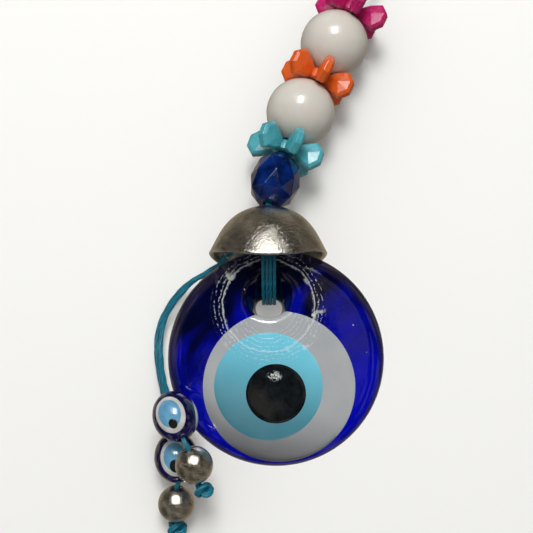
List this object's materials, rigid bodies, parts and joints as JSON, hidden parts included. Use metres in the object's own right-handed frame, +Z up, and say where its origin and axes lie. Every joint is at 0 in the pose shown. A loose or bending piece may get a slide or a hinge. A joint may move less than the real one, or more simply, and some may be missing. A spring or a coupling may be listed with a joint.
{
  "type": "evil eye ornament",
  "caption": "Glass evil eye hung by cord loops in a metal bead cap, under a strand of flower and ball beads, with tails of small eye beads.",
  "frame": {"origin": "centre of the glass eye's flat back", "axes": "+Y from the eye towards the hanging loop, +Z up from the table the ornament lies on, +X to the right as the eye is looked at"},
  "size_m": [0.0641, 0.1528, 0.0262],
  "materials": {
    "cobalt_glass": "transparent, polished",
    "white_glass": "opaque, polished",
    "light_blue_glass": "opaque, polished",
    "black_glass": "opaque, polished",
    "polished_metal": "polished",
    "teal_cord": "waxed braid",
    "blue_acrylic": "transparent, faceted",
    "turquoise_plastic": "pearly, faceted",
    "orange_plastic": "pearly, faceted",
    "magenta_plastic": "pearly, faceted",
    "ivory_plastic": "pearly"
  },
  "bodies": {
    "eye": {"glass_eye": "cobalt_glass", "eye_white": "white_glass", "eye_light_blue": "light_blue_glass", "eye_pupil": "black_glass", "eye_loop_left": "teal_cord", "eye_loop_right": "teal_cord", "cap_knot": "teal_cord", "tail_root_a": "teal_cord", "tail_root_b": "teal_cord"},
    "cap": {"bead_cap": "polished_metal"},
    "strand_lower": {"strand_cord_lower": "teal_cord"},
    "faceted": {"faceted_bead": "blue_acrylic"},
    "turquoise_flower": {"flower_turquoise": "turquoise_plastic"},
    "lower_ball": {"white_bead_lower": "ivory_plastic"},
    "strand_middle": {"strand_cord_middle": "teal_cord"},
    "orange_flower": {"flower_orange": "orange_plastic"},
    "upper_ball": {"white_bead_upper": "ivory_plastic"},
    "strand_upper": {"strand_cord_upper": "teal_cord", "end_knot": "teal_cord"},
    "magenta_flower": {"flower_magenta": "magenta_plastic"},
    "loop": {"hanging_loop": "teal_cord"},
    "tail_a": {"tail_cord_a": "teal_cord", "tail_knot_a": "teal_cord"},
    "tail_b": {"tail_cord_b": "teal_cord", "tail_knot_b": "teal_cord"},
    "eye_bead_a": {"small_eye_bead_a": "cobalt_glass", "small_eye_bead_a_eye_1_white": "white_glass", "small_eye_bead_a_eye_1_blue": "light_blue_glass", "small_eye_bead_a_eye_1_pupil": "black_glass", "small_eye_bead_a_eye_2_white": "white_glass", "small_eye_bead_a_eye_2_blue": "light_blue_glass", "small_eye_bead_a_eye_2_pupil": "black_glass", "small_eye_bead_a_eye_3_white": "white_glass", "small_eye_bead_a_eye_3_blue": "light_blue_glass", "small_eye_bead_a_eye_3_pupil": "black_glass"},
    "eye_bead_b": {"small_eye_bead_b": "cobalt_glass", "small_eye_bead_b_eye_1_white": "white_glass", "small_eye_bead_b_eye_1_blue": "light_blue_glass", "small_eye_bead_b_eye_1_pupil": "black_glass", "small_eye_bead_b_eye_2_white": "white_glass", "small_eye_bead_b_eye_2_blue": "light_blue_glass", "small_eye_bead_b_eye_2_pupil": "black_glass", "small_eye_bead_b_eye_3_white": "white_glass", "small_eye_bead_b_eye_3_blue": "light_blue_glass", "small_eye_bead_b_eye_3_pupil": "black_glass"},
    "silver_a": {"silver_bead_a": "polished_metal"},
    "silver_b": {"silver_bead_b": "polished_metal"}
  },
  "joints": [
    {"name": "cap_rock", "type": "hinge", "parent": "eye", "child": "cap", "pos_m": [-0.00165, 0.02745, 0.00872], "axis": [1, 0, 0], "range_deg": [0, 25]},
    {"name": "strand_swing_lower", "type": "hinge", "parent": "cap", "child": "strand_lower", "pos_m": [-0.00165, 0.03235, 0.00872], "axis": [0, 0, 1], "range_deg": [-5, 6]},
    {"name": "faceted_spin", "type": "hinge", "parent": "strand_lower", "child": "faceted", "pos_m": [-0.00004, 0.03933, 0.00675], "axis": [0.2507, 0.944, -0.2147], "continuous": true},
    {"name": "turquoise_spin", "type": "hinge", "parent": "strand_lower", "child": "turquoise_flower", "pos_m": [0.00231, 0.04727, 0.00532], "axis": [0.3231, 0.9399, -0.1103], "continuous": true},
    {"name": "lower_ball_spin", "type": "hinge", "parent": "strand_lower", "child": "lower_ball", "pos_m": [0.00593, 0.05668, 0.00472], "axis": [0.3913, 0.9197, -0.0308], "continuous": true},
    {"name": "strand_swing_middle", "type": "hinge", "parent": "strand_lower", "child": "strand_middle", "pos_m": [0.00593, 0.05668, 0.00472], "axis": [0, 0, 1], "range_deg": [-4, 4]},
    {"name": "orange_spin", "type": "hinge", "parent": "strand_middle", "child": "orange_flower", "pos_m": [0.01001, 0.06537, 0.00472], "axis": [0.4258, 0.9048, 0], "continuous": true},
    {"name": "upper_ball_spin", "type": "hinge", "parent": "strand_middle", "child": "upper_ball", "pos_m": [0.0141, 0.07405, 0.00472], "axis": [0.4321, 0.9018, 0], "continuous": true},
    {"name": "strand_swing_upper", "type": "hinge", "parent": "strand_middle", "child": "strand_upper", "pos_m": [0.0141, 0.07405, 0.00472], "axis": [0, 0, 1], "range_deg": [-4, 4]},
    {"name": "magenta_spin", "type": "hinge", "parent": "strand_upper", "child": "magenta_flower", "pos_m": [0.01831, 0.08268, 0.00472], "axis": [0.4384, 0.8988, 0], "continuous": true},
    {"name": "loop_swing", "type": "hinge", "parent": "strand_upper", "child": "loop", "pos_m": [0.02006, 0.08628, 0.00472], "axis": [0, 0, 1], "range_deg": [-40, 40]},
    {"name": "tail_a_lift", "type": "hinge", "parent": "eye", "child": "tail_a", "pos_m": [-0.0116, 0.0221, 0.00541], "axis": [1, 0, 0], "range_deg": [-35, 0]},
    {"name": "tail_b_swing", "type": "hinge", "parent": "eye", "child": "tail_b", "pos_m": [-0.0112, 0.0218, 0.00371], "axis": [0, 0, 1], "range_deg": [-12, 0]},
    {"name": "eye_bead_a_spin", "type": "hinge", "parent": "tail_a", "child": "eye_bead_a", "pos_m": [-0.02148, -0.01374, 0.00852], "axis": [0.3602, -0.8893, 0.2818], "continuous": true},
    {"name": "silver_a_spin", "type": "hinge", "parent": "tail_a", "child": "silver_a", "pos_m": [-0.01725, -0.02386, 0.00916], "axis": [0.3132, -0.9058, -0.2853], "continuous": true},
    {"name": "eye_bead_b_spin", "type": "hinge", "parent": "tail_b", "child": "eye_bead_b", "pos_m": [-0.02206, -0.02233, 0.00117], "axis": [0.1439, -0.9795, 0.1412], "continuous": true},
    {"name": "silver_b_spin", "type": "hinge", "parent": "tail_b", "child": "silver_b", "pos_m": [-0.02176, -0.03223, 0.00047], "axis": [-0.0389, -0.939, -0.3418], "continuous": true}
  ]
}
